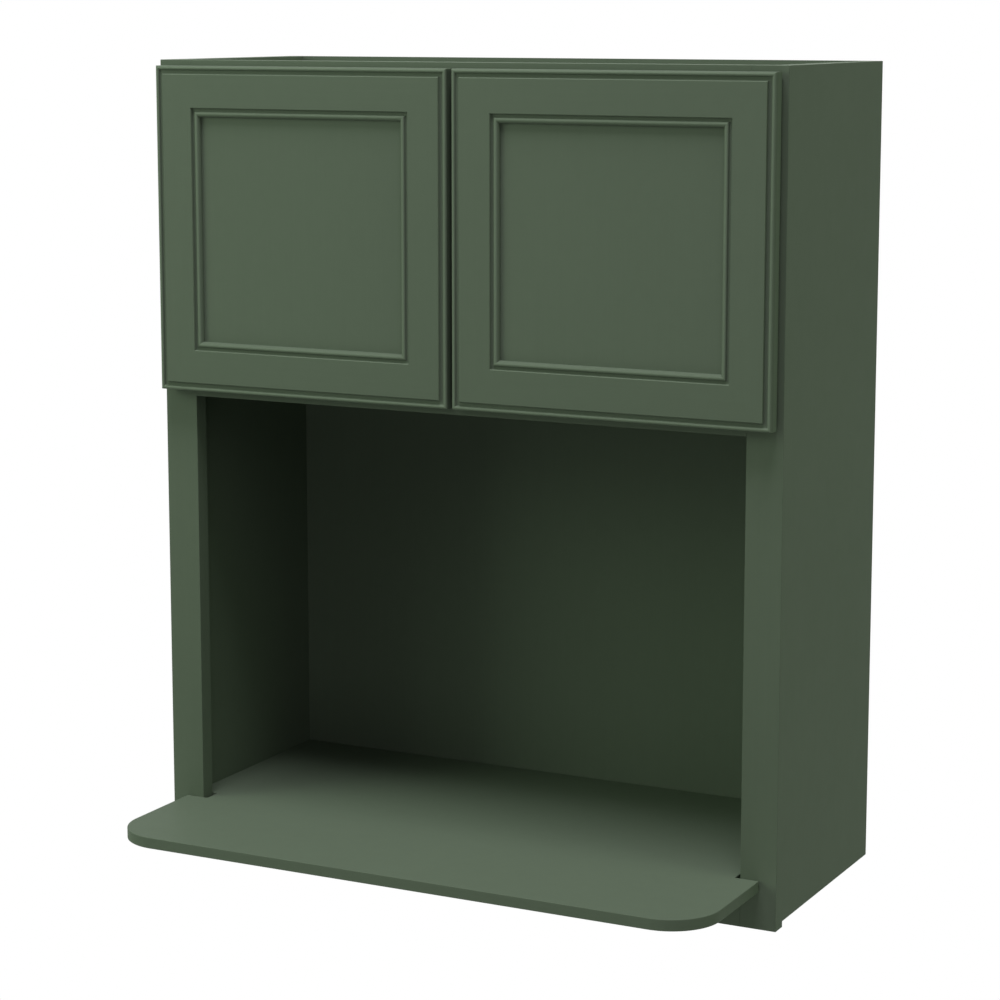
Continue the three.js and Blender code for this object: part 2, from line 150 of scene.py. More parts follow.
class Sheet:
    """The node sheet of one material."""

    def __init__(self, name: str) -> None:
        """Starts a material with an empty sheet.

        Args:
            name: The material's name.
        """
        self.material = bpy.data.materials.new(name)
        self.material.use_nodes = True
        self.tree = self.material.node_tree
        self.tree.nodes.clear()
        self.place = self.add("ShaderNodeTexCoord").outputs["Object"]

    def add(self, kind: str, inputs: dict | None = None, **settings: object) -> bpy.types.Node:
        """Adds a node to the sheet, as add_node does."""
        return add_node(self.tree, kind, inputs, **settings)

    def part(self, vector: Socket, axis: Run) -> Socket:
        """The part of a vector that lies along one axis."""
        return self.add("ShaderNodeSeparateXYZ", {0: vector}).outputs[axis.value]

    def facing(self, axis: Run) -> Socket:
        """How far the surface faces along a row axis, from -1 to 1."""
        return self.part(self.add("ShaderNodeNewGeometry").outputs["Normal"], axis)

    def stretched(self, scale: Sequence[float]) -> Socket:
        """The piece's own coordinates with each axis multiplied by its own scale."""
        inputs = {"Vector": self.place, "Scale": scale}
        return self.add("ShaderNodeMapping", inputs).outputs["Vector"]

    def noise(
        self, scale: float, detail: float = 2.0, place: Socket | None = None, wander: float = 0.0
    ) -> Socket:
        """Cloudy noise.

        Args:
            scale: Clouds to the metre.
            detail: Finer layers on top of the first.
            place: Coordinates, or the piece's own where left out.
            wander: How far the clouds are drawn out of shape.

        Returns:
            The noise, mostly from 0.3 to 0.7.
        """
        inputs = {
            "Vector": self.place if place is None else place,
            "Scale": scale,
            "Detail": detail,
            "Distortion": wander,
        }
        return self.add("ShaderNodeTexNoise", inputs).outputs["Fac"]

    def spread(
        self, value: Value, low: float, high: float, start: float = 0.3, end: float = 0.7
    ) -> Socket:
        """Stretches a value that runs from start to end so that it runs from low to high."""
        inputs = {"Value": value, "From Min": start, "From Max": end, "To Min": low, "To Max": high}
        return self.add("ShaderNodeMapRange", inputs).outputs["Result"]

    def maths(self, operation: str, first: Value, second: Value = 0.0) -> Socket:
        """One sum, product or comparison of two values."""
        return self.add("ShaderNodeMath", {0: first, 1: second}, operation=operation).outputs[0]

    def tint(self, colour: Value, amount: Value) -> Socket:
        """A colour multiplied by a value."""
        inputs = {0: colour, "Scale": amount}
        return self.add("ShaderNodeVectorMath", inputs, operation="SCALE").outputs[0]

    def blend(
        self, amount: Value, first: Value, second: Value, kind: Mix = Mix.COLOUR
    ) -> Socket:
        """Mixes two values.

        Args:
            amount: The second value's share, from 0 to 1.
            first: The first value.
            second: The second value.
            kind: What the values are.

        Returns:
            The mix.
        """
        word, start, end, mixed = kind.value
        inputs = {0: amount, start: first, end: second}
        return self.add("ShaderNodeMix", inputs, data_type=word).outputs[mixed]

    def levels(self, value: Value, stops: Sequence[Span]) -> Socket:
        """Reads a level off a line of stops.

        Args:
            value: Where to read, from 0 to 1.
            stops: Places along the line and the level at each, from 0 to 1.

        Returns:
            The level.
        """
        node = self.add("ShaderNodeValToRGB", {"Fac": value})
        line = node.color_ramp.elements
        line.remove(line[-1])
        for number, (place, level) in enumerate(stops):
            stop = line[0] if number == 0 else line.new(place)
            stop.position, stop.color = place, rgba((level, level, level))
        return node.outputs["Color"]

    def bump(self, height: Value, reach: float, below: Socket | None = None) -> Socket:
        """A normal bent by a height.

        Args:
            height: The height, from 0 to 1.
            reach: What a height of 1 means, in metres.
            below: The normal of the layer below, where there is one.

        Returns:
            The bent normal.
        """
        inputs: dict = {"Height": height, "Distance": reach}
        if below is not None:
            inputs["Normal"] = below
        return self.add("ShaderNodeBump", inputs).outputs["Normal"]

    def finish(self, **surface: Value) -> bpy.types.Material:
        """Ends the sheet with one surface shader.

        Args:
            **surface: Socket names of the surface shader, with _ for a space, and their values.

        Returns:
            The finished material.
        """
        inputs = {key.replace("_", " "): value for key, value in surface.items()}
        shader = self.add("ShaderNodeBsdfPrincipled", inputs)
        self.add("ShaderNodeOutputMaterial", {"Surface": shader.outputs["BSDF"]})
        return self.material


# ---------------------------------------------------------------- finishes

SAGE = screen_colour(85, 99, 80)
BIRCH = screen_colour(222, 196, 158)
BIRCH_DARK = screen_colour(196, 161, 118)
GLUE_LINE = screen_colour(104, 74, 48)
BRIGHT_PLATE = screen_colour(196, 193, 186)
SCREW_PLATE = screen_colour(178, 175, 168)
STAPLE_WIRE = screen_colour(132, 129, 122)
CLEAR_RUBBER = screen_colour(226, 228, 222)


class Layers(NamedTuple):
    """What a finish hands to the surface shader."""

    colour: Socket
    roughness: Socket
    normal: Socket


class LayeredFinish:
    """A finish that is a material of its own or a part of another one."""

    specular: float

    def layers(self, sheet: Sheet) -> Layers:
        """Draws the finish; each kind has its own way."""
        raise NotImplementedError

    def material(self, name: str) -> bpy.types.Material:
        """Makes the finish into a material.

        Args:
            name: The material's name.

        Returns:
            The material.
        """
        sheet = Sheet(name)
        layers = self.layers(sheet)
        return sheet.finish(
            Base_Color=layers.colour,
            Roughness=layers.roughness,
            Normal=layers.normal,
            Specular_IOR_Level=self.specular,
        )


@dataclass(frozen=True)
class MouldingPaintedLight:
    """Painted highlights and painted shade on a moulding.

    The crests and arrises are painted lighter as a painted highlight, and the hollows and the strip
    beside the panel are painted darker as painted shade and shadow.
    The depths are counted from the member's flat face. A ramp's levels end at 1, so they are
    divided by the headroom on the ramp and multiplied by it after.
    """

    face: float
    # Painted highlight on the crests, painted shade in the hollows and painted shadow beside the
    # panel, as colour factors.
    crest_highlight: float = 1.24
    hollow_shade: float = 0.93
    foot_shadow: float = 0.8
    arris: float = 0.12 * MM
    crest_highlight_depths: Span = (0.5 * MM, 0.9 * MM)
    crest_highlight_end: float = 1.5 * MM
    hollow_shade_depths: Span = (2.8 * MM, 4.0 * MM)
    foot_shadow_depths: Span = (5.0 * MM, 5.6 * MM)
    foot_shadow_end: float = 6.4 * MM
    measure: float = 10 * MM
    headroom: float = 2.0

    def tone(self, sheet: Sheet) -> Socket:
        """Draws the painted highlights and painted shade by how far a spot lies behind the member's
        flat face.

        Args:
            sheet: The sheet to draw it on.

        Returns:
            The painted light and shade as a colour factor, 1 on the flat face.
        """
        spot = sheet.part(sheet.place, Run.DEEP)
        depth = sheet.maths("DIVIDE", sheet.maths("SUBTRACT", spot, self.face), self.measure)
        # Painted light: lighter near the front of the profile, darker in the groove and beside the
        # panel, where shade falls.
        tones = [(0.0, 1.0), (self.arris, 1.0)]
        tones += [(at, self.crest_highlight) for at in self.crest_highlight_depths] + [(self.crest_highlight_end, 1.0)]
        tones += [(at, self.hollow_shade) for at in self.hollow_shade_depths]
        tones += [(at, self.foot_shadow) for at in self.foot_shadow_depths] + [(self.foot_shadow_end, 1.0)]
        stops = [(at / self.measure, tone / self.headroom) for at, tone in tones]
        return sheet.maths("MULTIPLY", sheet.levels(depth, stops), self.headroom)


@dataclass(frozen=True)
class SprayedPaint(LayeredFinish):
    """Satin green lacquer, sprayed over sealed wood whose grain shows through a little."""

    grain: Run
    colour: Colour = SAGE
    roughness: Span = (0.535, 0.565)
    roughness_pitch: float = 38.0
    specular: float = 0.035
    grain_pitch: float = 330.0
    grain_length: float = 9.0
    grain_height: float = 0.008 * MM
    grain_tone: Span = (0.99, 1.01)
    drift_pitch: float = 4.0
    drift_tone: Span = (0.985, 1.015)
    cloud_pitch: float = 70.0
    cloud_tone: Span = (0.99, 1.01)
    peel_pitch: float = 520.0
    peel_height: float = 0.006 * MM
    # Painted highlights and painted shade for a moulding's profile, where one is given.
    moulding: MouldingPaintedLight | None = None

    def layers(self, sheet: Sheet) -> Layers:
        """Draws the coat.

        Args:
            sheet: The sheet to draw it on.

        Returns:
            Its layers.
        """
        scale = [self.grain_pitch] * 3
        scale[self.grain.value] = self.grain_length
        grain = sheet.noise(1.0, detail=3.0, place=sheet.stretched(scale))
        drift = sheet.spread(sheet.noise(self.drift_pitch), *self.drift_tone)
        cloud = sheet.spread(sheet.noise(self.cloud_pitch, detail=3.0), *self.cloud_tone)
        shade = sheet.maths("MULTIPLY", drift, cloud)
        shade = sheet.maths("MULTIPLY", shade, sheet.spread(grain, *self.grain_tone))
        # Multiplies in the moulding's painted highlights and painted shade.
        if self.moulding is not None:
            shade = sheet.maths("MULTIPLY", shade, self.moulding.tone(sheet))
        gloss = sheet.noise(self.roughness_pitch, detail=4.0)
        peel = sheet.noise(self.peel_pitch, detail=1.0)
        normal = sheet.bump(grain, self.grain_height)
        return Layers(
            colour=sheet.tint(self.colour, shade),
            roughness=sheet.spread(gloss, *self.roughness),
            normal=sheet.bump(peel, self.peel_height, normal),
        )


@dataclass(frozen=True)
class BirchPlywood(LayeredFinish):
    """Clear-coated birch plywood: long soft grain on its faces and its plies on its edges."""

    grain: Run
    thickness: Run
    ply: float = 1.4 * MM
    roughness: Span = (0.44, 0.56)
    specular: float = 0.4
    grain_pitch: float = 34.0
    grain_length: float = 1.6
    grain_wander: float = 0.7
    grain_blend: Span = (0.0, 0.75)
    pore_pitch: float = 1500.0
    pore_length: float = 45.0
    pore_height: float = 0.02 * MM
    pore_tone: Span = (0.93, 1.05)
    ply_tone: Span = (0.9, 1.08)
    end_grain_blend: float = 0.8
    glue_share: float = 0.05
    face_facing: float = 0.7

    def layers(self, sheet: Sheet) -> Layers:
        """Draws the wood.

        Args:
            sheet: The sheet to draw it on.

        Returns:
            Its layers.
        """
        broad, fine = [self.grain_pitch] * 3, [self.pore_pitch] * 3
        broad[self.grain.value], fine[self.grain.value] = self.grain_length, self.pore_length
        long = sheet.stretched(broad)
        figure = sheet.noise(1.0, detail=6.0, place=long, wander=self.grain_wander)
        pores = sheet.noise(1.0, place=sheet.stretched(fine))
        face = sheet.blend(sheet.spread(figure, *self.grain_blend), rgba(BIRCH), rgba(BIRCH_DARK))
        face = sheet.tint(face, sheet.spread(pores, *self.pore_tone))
        turned = sheet.maths("ABSOLUTE", sheet.facing(self.thickness))
        on_face = sheet.maths("GREATER_THAN", turned, self.face_facing)
        return Layers(
            colour=sheet.blend(on_face, self.plies(sheet, figure), face),
            roughness=sheet.spread(figure, *self.roughness),
            normal=sheet.bump(pores, self.pore_height),
        )

    def plies(self, sheet: Sheet, figure: Socket) -> Socket:
        """Draws the board's edge, its plies light and dark by turns between thin glue lines.

        Args:
            sheet: The sheet to draw it on.
            figure: The wood's figure.

        Returns:
            The edge's colour.
        """
        layer = sheet.maths("DIVIDE", sheet.part(sheet.place, self.thickness), self.ply)
        end_grain = sheet.maths("GREATER_THAN", sheet.maths("PINGPONG", layer, 1.0), 0.5)
        shade = sheet.maths("MULTIPLY", end_grain, self.end_grain_blend)
        wood = sheet.blend(shade, rgba(BIRCH), rgba(BIRCH_DARK))
        wood = sheet.tint(wood, sheet.spread(figure, *self.ply_tone))
        from_line = sheet.maths("PINGPONG", sheet.maths("ADD", layer, 0.5), 0.5)
        glue = sheet.maths("LESS_THAN", from_line, self.glue_share)
        return sheet.blend(glue, wood, rgba(GLUE_LINE))


@dataclass(frozen=True)
class PaintedBoard:
    """Painted plywood whose face against the wall is left bare."""

    paint: SprayedPaint
    wood: BirchPlywood
    wall_facing: float = 0.9

    def material(self, name: str) -> bpy.types.Material:
        """Makes the board's finish into a material.

        Args:
            name: The material's name.

        Returns:
            The material.
        """
        sheet = Sheet(name)
        painted, bare = self.paint.layers(sheet), self.wood.layers(sheet)
        on_wall = sheet.maths("GREATER_THAN", sheet.facing(Run.DEEP), self.wall_facing)
        return sheet.finish(
            Base_Color=sheet.blend(on_wall, painted.colour, bare.colour),
            Roughness=sheet.blend(on_wall, painted.roughness, bare.roughness, Mix.NUMBER),
            Normal=sheet.blend(on_wall, painted.normal, bare.normal, Mix.VECTOR),
            Specular_IOR_Level=self.paint.specular,
        )


@dataclass(frozen=True)
class Nickel:
    """Nickel plate on pressed steel, with the faint lines of the rolled sheet."""

    colour: Colour = BRIGHT_PLATE
    roughness: float = 0.3
    roughness_drift: Span = (-0.03, 0.04)
    roughness_pitch: float = 260.0
    stain_pitch: float = 160.0
    stain_tone: Span = (0.97, 1.02)
    line_pitch: float = 2600.0
    line_length: float = 160.0
    line_height: float = 0.0006 * MM

    def material(self, name: str) -> bpy.types.Material:
        """Makes the plate into a material.

        Args:
            name: The material's name.

        Returns:
            The material.
        """
        sheet = Sheet(name)
        scale = (self.line_pitch, self.line_pitch, self.line_length)
        lines = sheet.noise(1.0, place=sheet.stretched(scale))
        stain = sheet.noise(self.stain_pitch, detail=3.0)
        gloss = sheet.noise(self.roughness_pitch, detail=3.0)
        low, high = (self.roughness + drift for drift in self.roughness_drift)
        return sheet.finish(
            Base_Color=sheet.tint(self.colour, sheet.spread(stain, *self.stain_tone)),
            Roughness=sheet.spread(gloss, low, high),
            Normal=sheet.bump(lines, self.line_height),
            Metallic=1.0,
        )


@dataclass(frozen=True)
class ClearBumper:
    """Clear soft polyurethane, a little cloudy inside."""

    colour: Colour = CLEAR_RUBBER
    roughness: Span = (0.17, 0.3)
    cloud_pitch: float = 900.0
    cloud_tone: Span = (0.92, 1.0)
    cloud_height: float = 0.01 * MM
    clearness: float = 0.6
    light_bending: float = 1.47

    def material(self, name: str) -> bpy.types.Material:
        """Makes the bumper's stuff into a material.

        Args:
            name: The material's name.

        Returns:
            The material.
        """
        sheet = Sheet(name)
        cloud = sheet.noise(self.cloud_pitch, detail=3.0)
        return sheet.finish(
            Base_Color=sheet.tint(self.colour, sheet.spread(cloud, *self.cloud_tone)),
            Roughness=sheet.spread(cloud, *self.roughness),
            Normal=sheet.bump(cloud, self.cloud_height),
            Transmission_Weight=self.clearness,
            IOR=self.light_bending,
        )


class Finishes:
    """Every finish in use, made once each."""

    def __init__(self) -> None:
        """Makes the materials."""
        # Painted highlights and painted shade for the door mouldings, measured from the members'
        # flat face.
        moulding_light = MouldingPaintedLight(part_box("left_door_top_rail")[0].y)
        self.paint = {
            run: SprayedPaint(run).material(f"sage_paint_grain_{run.name.lower()}") for run in Run
        }
        # These moulding materials carry the painted highlights and painted shade.
        self.moulding = {
            run: SprayedPaint(run, moulding=moulding_light).material(
                f"sage_paint_moulding_{run.name.lower()}"
            )
            for run in (Run.UP, Run.ACROSS)
        }
        paint = SprayedPaint(Run.UP)
        rear = PaintedBoard(paint, BirchPlywood(Run.UP, Run.DEEP))
        self.rear = rear.material("sage_paint_bare_rear")
        side = PaintedBoard(paint, BirchPlywood(Run.UP, Run.ACROSS))
        self.side = side.material("sage_paint_bare_rear_edge")
        self.hanging = BirchPlywood(Run.ACROSS, Run.DEEP).material("bare_birch_plywood")
        self.nickel = Nickel().material("nickel_plate")
        self.screw = Nickel(SCREW_PLATE, roughness=0.36).material("screw_plate")
        self.staple = Nickel(STAPLE_WIRE, roughness=0.42).material("staple_wire")
        self.bumper = ClearBumper().material("clear_bumper_pu")


# ---------------------------------------------------------------- eased edges


@dataclass(frozen=True)
class Joint:
    """A plane in which a piece meets its neighbour, where its edges stay crisp."""

    point: tuple[float, float, float]
    normal: tuple[float, float, float]
    reach: float = 0.3 * MM


@dataclass(frozen=True)
class EasedEdges:
    """Edges sanded by hand before the paint: a small round on each sharp edge.

    A node group marks the edges to round, and a bevel rounds them. Edges in a joint's plane, where
    two pieces meet flush, are left as they are.
    """

    width: float
    joints: tuple[Joint, ...] = ()
    segments: int = 2
    sharp_angle: float = math.radians(32)
    flat_angle: float = math.radians(0.2)

    def put_on(self, piece: bpy.types.Object) -> None:
        """Eases a piece's edges.

        Args:
            piece: The mesh object to ease.
        """
        weld = piece.modifiers.new("weld", "WELD")
        weld.merge_threshold = SAME_SPOT
        flat = piece.modifiers.new("flats", "DECIMATE")
        flat.decimate_type = "DISSOLVE"
        flat.angle_limit = self.flat_angle
        mark = piece.modifiers.new("marked_edges", "NODES")
        mark.node_group = self.marks(piece.name)
        bevel = piece.modifiers.new("eased_edges", "BEVEL")
        bevel.limit_method = "WEIGHT"
        bevel.width = self.width
        bevel.segments = self.segments
        bevel.use_clamp_overlap = True
        bevel.miter_outer = "MITER_ARC"
        flatten = piece.modifiers.new("flat_faces_stay_flat", "WEIGHTED_NORMAL")
        flatten.mode = "FACE_AREA"
        flatten.keep_sharp = True

    def marks(self, name: str) -> bpy.types.NodeTree:
        """Makes the node group that smooths the faces, keeps the joints sharp and marks the rest.

        Args:
            name: The piece's name.

        Returns:
            The node group.
        """
        tree = bpy.data.node_groups.new(f"edges_of_{name}", "GeometryNodeTree")
        for way in ("INPUT", "OUTPUT"):
            tree.interface.new_socket("Geometry", in_out=way, socket_type="NodeSocketGeometry")
        add = partial(add_node, tree)
        more = partial(add, "FunctionNodeCompare", operation="GREATER_THAN")
        logic = partial(add, "FunctionNodeBooleanMath")
        vector = partial(add, "ShaderNodeVectorMath")
        shade = partial(add, "GeometryNodeSetShadeSmooth")

        source = add("NodeGroupInput").outputs[0]
        plain = add("GeometryNodeRemoveAttribute", {0: source, "Name": "custom_normal"})
        angle = add("GeometryNodeInputMeshEdgeAngle").outputs["Unsigned Angle"]
        sharp = more({0: angle, 1: self.sharp_angle}).outputs[0]
        place = add("GeometryNodeInputPosition").outputs[0]
        free = sharp
        for joint in self.joints:
            off = vector({0: place, 1: joint.point}, operation="SUBTRACT").outputs[0]
            away = vector({0: off, 1: joint.normal}, operation="DOT_PRODUCT").outputs["Value"]
            size = add("ShaderNodeMath", {0: away}, operation="ABSOLUTE").outputs[0]
            clear = more({0: size, 1: joint.reach}).outputs[0]
            free = logic({0: free, 1: clear}, operation="AND").outputs[0]
        smooth = shade({"Geometry": plain.outputs[0], "Shade Smooth": True}, domain="FACE")
        kept = logic({0: free}, operation="NOT").outputs[0]
        kept = logic({0: kept, 1: sharp}, operation="AND").outputs[0]
        crisp = shade(
            {"Geometry": smooth.outputs[0], "Selection": kept, "Shade Smooth": False},
            domain="EDGE",
        )
        weight = add("ShaderNodeMath", {0: free, 1: 1.0}, operation="MULTIPLY").outputs[0]
        store = add(
            "GeometryNodeStoreNamedAttribute",
            {"Geometry": crisp.outputs[0], "Name": "bevel_weight_edge", "Value": weight},
            data_type="FLOAT",
            domain="EDGE",
        )
        add("NodeGroupOutput", {0: store.outputs[0]})
        return tree


# ---------------------------------------------------------------- pieces


def dress(name: str, material: bpy.types.Material, edges: EasedEdges | None = None) -> None:
    """Gives a piece of the frame its finish.

    Args:
        name: The piece's node name.
        material: Its finish.
        edges: How its edges are eased, or None to leave them.
    """
    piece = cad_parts[name]
    piece.material_slots[0].material = material
    if edges is not None:
        edges.put_on(piece)
    log.info("%s: %s", name, material.name)


def to_object(form: bmesh.types.BMesh, name: str) -> bpy.types.Object:
    """Turns mesh code into an object of the scene.

    Args:
        form: The mesh code, which is freed.
        name: The object's name.

    Returns:
        The object.
    """
    mesh = bpy.data.meshes.new(name)
    form.normal_update()
    form.to_mesh(mesh)
    form.free()
    made = bpy.data.objects.new(name, mesh)
    bpy.context.scene.collection.objects.link(made)
    return made


@dataclass
class ClosedJoints:
    """Glue and paint that close the hair-wide gaps where fixed pieces meet, as one piece."""

    name: str
    body: str
    form: bmesh.types.BMesh = field(default_factory=bmesh.new)
    reach: float = 0.3 * MM
    same_way: float = 0.999
    flat_angle: float = 0.01

    def close(self, node: str, joint: Joint) -> None:
        """Fills the gap in front of a piece's end, out to the joint's other side.

        Args:
            node: The piece whose end is carried on.
            joint: The plane in the middle of the gap, its normal pointing out of the piece.
        """
        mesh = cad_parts[node].data
        point, normal = Vector(joint.point), Vector(joint.normal).normalized()
        ends = bmesh.new()
        gap = 0.0
        for face in mesh.polygons:
            off = (face.center - point).dot(normal)
            if abs(off) < self.reach and face.normal.dot(normal) > self.same_way:
                gap = max(gap, -2 * off)
                ends.faces.new([ends.verts.new(mesh.vertices[i].co) for i in face.vertices])
        bmesh.ops.remove_doubles(ends, verts=ends.verts, dist=SAME_SPOT)
        bmesh.ops.dissolve_limit(
            ends, angle_limit=self.flat_angle, verts=ends.verts, edges=ends.edges
        )
        grown = bmesh.ops.extrude_face_region(ends, geom=ends.faces[:], use_keep_orig=True)["geom"]
        far = [part for part in grown if isinstance(part, bmesh.types.BMVert)]
        bmesh.ops.translate(ends, verts=far, vec=normal * gap)
        bmesh.ops.recalc_face_normals(ends, faces=ends.faces)
        filling = bpy.data.meshes.new("filling")
        ends.to_mesh(filling)
        ends.free()
        self.form.from_mesh(filling)
        bpy.data.meshes.remove(filling)

    def build(self, paint: bpy.types.Material) -> None:
        """Makes the piece.

        Args:
            paint: The coat over it.
        """
        piece = to_object(self.form, self.name)
        piece.data.materials.append(paint)
        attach(piece, self.body)
        log.info("%s on %s", self.name, self.body)


@dataclass(frozen=True)
class FaceFrame:
    """The face frame: two stiles and three rails, joined flush."""

    edge: float = 0.5 * MM
    half_gap: float = 0.1 * MM
    shoulder_reach: float = 0.5 * MM
    rails: tuple[str, ...] = ("bottom_rail", "middle_rail", "top_rail")

    def dress(self, finishes: Finishes) -> None:
        """Paints the frame and eases the edges that its joints leave free.

        Args:
            finishes: The finishes to choose from.
        """
        for side in Side:
            behind = Joint((0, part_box(f"{side.word}_stile")[1].y, 0), (0, 1, 0))
            edges = EasedEdges(self.edge, (behind,))
            dress(f"{side.word}_stile", finishes.paint[Run.UP], edges)
        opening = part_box("right_stile")[0].x
        shoulders = tuple(
            Joint((side.value * opening, 0, 0), (1, 0, 0), self.shoulder_reach) for side in Side
        )
        for rail in self.rails:
            behind = Joint((0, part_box(rail)[1].y, 0), (0, 1, 0))
            edges = EasedEdges(self.edge, (behind, *shoulders))
            dress(rail, finishes.paint[Run.ACROSS], edges)
        self.close_joints(finishes)

    def close_joints(self, finishes: Finishes) -> None:
        """Closes the rails' shoulders and the seams between the stiles and the box's sides.

        Args:
            finishes: The finishes to choose from.
        """
        joints = ClosedJoints("frame_joints", "cabinet")
        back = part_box("right_stile")[1].y
        for side in Side:
            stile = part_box(f"{side.word}_stile")
            inner = stile[1].x if side is Side.LEFT else stile[0].x
            for rail in self.rails:
                middle = (inner - side.value * self.half_gap, 0, 0)
                joints.close(rail, Joint(middle, (side.value, 0, 0)))
            seam = Joint((0, back + self.half_gap, 0), (0, -1, 0))
            joints.close(f"{side.word}_side_panel", seam)
        joints.build(finishes.paint[Run.UP])


@dataclass(frozen=True)
class Carcass:
    """The plywood box behind the frame."""

    edge: float = 0.5 * MM
    levels: tuple[str, ...] = ("bottom_panel", "deck_panel", "top_panel")
    hanging_rails: tuple[str, ...] = ("upper_hanging_rail", "lower_hanging_rail")

    def dress(self, finishes: Finishes) -> None:
        """Paints the boards, all but the faces against the wall and the hanging rails.

        Args:
            finishes: The finishes to choose from.
        """
        for side in Side:
            name = f"{side.word}_side_panel"
            front = Joint((0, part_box(name)[0].y, 0), (0, 1, 0))
            dress(name, finishes.side, EasedEdges(self.edge, (front,)))
        for name in self.levels:
            dress(name, finishes.paint[Run.ACROSS])
        dress("back_panel", finishes.rear)
        for name in self.hanging_rails:
            dress(name, finishes.hanging, EasedEdges(self.edge))


@dataclass(frozen=True)
class OvenShelf:
    """The deep shelf that carries the oven."""

    edge: float = 0.9 * MM
    edge_segments: int = 3

    def dress(self, finishes: Finishes) -> None:
        """Paints the shelf and eases its edges."""
        edges = EasedEdges(self.edge, segments=self.edge_segments)
        dress("microwave_shelf", finishes.paint[Run.ACROSS], edges)


@dataclass(frozen=True)
class Door:
    """A mitred door: four moulded members round a flat panel."""

    side: Side
    edge: float = 0.5 * MM
    mitre_reach: float = 0.4 * MM
    bumper_edge: float = 0.2 * MM
    rails: tuple[str, ...] = ("top_rail", "bottom_rail")
    stiles: tuple[str, ...] = ("hinge_stile", "lock_stile")

    def corners(self) -> tuple[Joint, ...]:
        """Finds the mitre plane through each corner of the door's outline.

        Returns:
            The four planes.
        """
        low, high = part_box(f"{self.side.word}_door_hinge_stile")
        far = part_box(f"{self.side.word}_door_lock_stile")
        left, right = min(low.x, far[0].x), max(high.x, far[1].x)
        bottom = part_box(f"{self.side.word}_door_bottom_rail")[0].z
        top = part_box(f"{self.side.word}_door_top_rail")[1].z
        rise = math.sqrt(0.5)
        found = []
        for x in (left, right):
            for z in (bottom, top):
                slope = 1 if (x == left) == (z == bottom) else -1
                found.append(Joint((x, 0, z), (rise, 0, -slope * rise), self.mitre_reach))
        return tuple(found)

    def dress(self, finishes: Finishes) -> None:
        """Paints the door, closes its mitres and finishes its bumpers.

        Args:
            finishes: The finishes to choose from.
        """
        mitres = self.corners()
        for members, run in ((self.stiles, Run.UP), (self.rails, Run.ACROSS)):
            for member in members:
                name = f"{self.side.word}_door_{member}"
                dress(name, finishes.moulding[run], EasedEdges(self.edge, mitres))
        dress(f"{self.side.word}_door_panel", finishes.paint[Run.UP])
        self.close_mitres(mitres, finishes)
        for level in ("upper", "lower"):
            edges = EasedEdges(self.bumper_edge)
            dress(f"{self.side.word}_{level}_bumper", finishes.bumper, edges)

    def close_mitres(self, mitres: Sequence[Joint], finishes: Finishes) -> None:
        """Closes the four mitres, each from the end of its rail.

        Args:
            mitres: The mitre planes.
            finishes: The finishes to choose from.
        """
        joints = ClosedJoints(f"{self.side.word}_door_mitres", f"{self.side.word}_door")
        for rail in self.rails:
            name = f"{self.side.word}_door_{rail}"
            low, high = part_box(name)
            middle = (low + high) / 2
            for mitre in mitres:
                point, normal = Vector(mitre.point), Vector(mitre.normal)
                if abs(point.z - middle.z) < high.z - low.z:
                    outward = normal if (middle - point).dot(normal) < 0 else -normal
                    joints.close(name, Joint(tuple(point), tuple(outward)))
        joints.build(finishes.moulding[Run.UP])


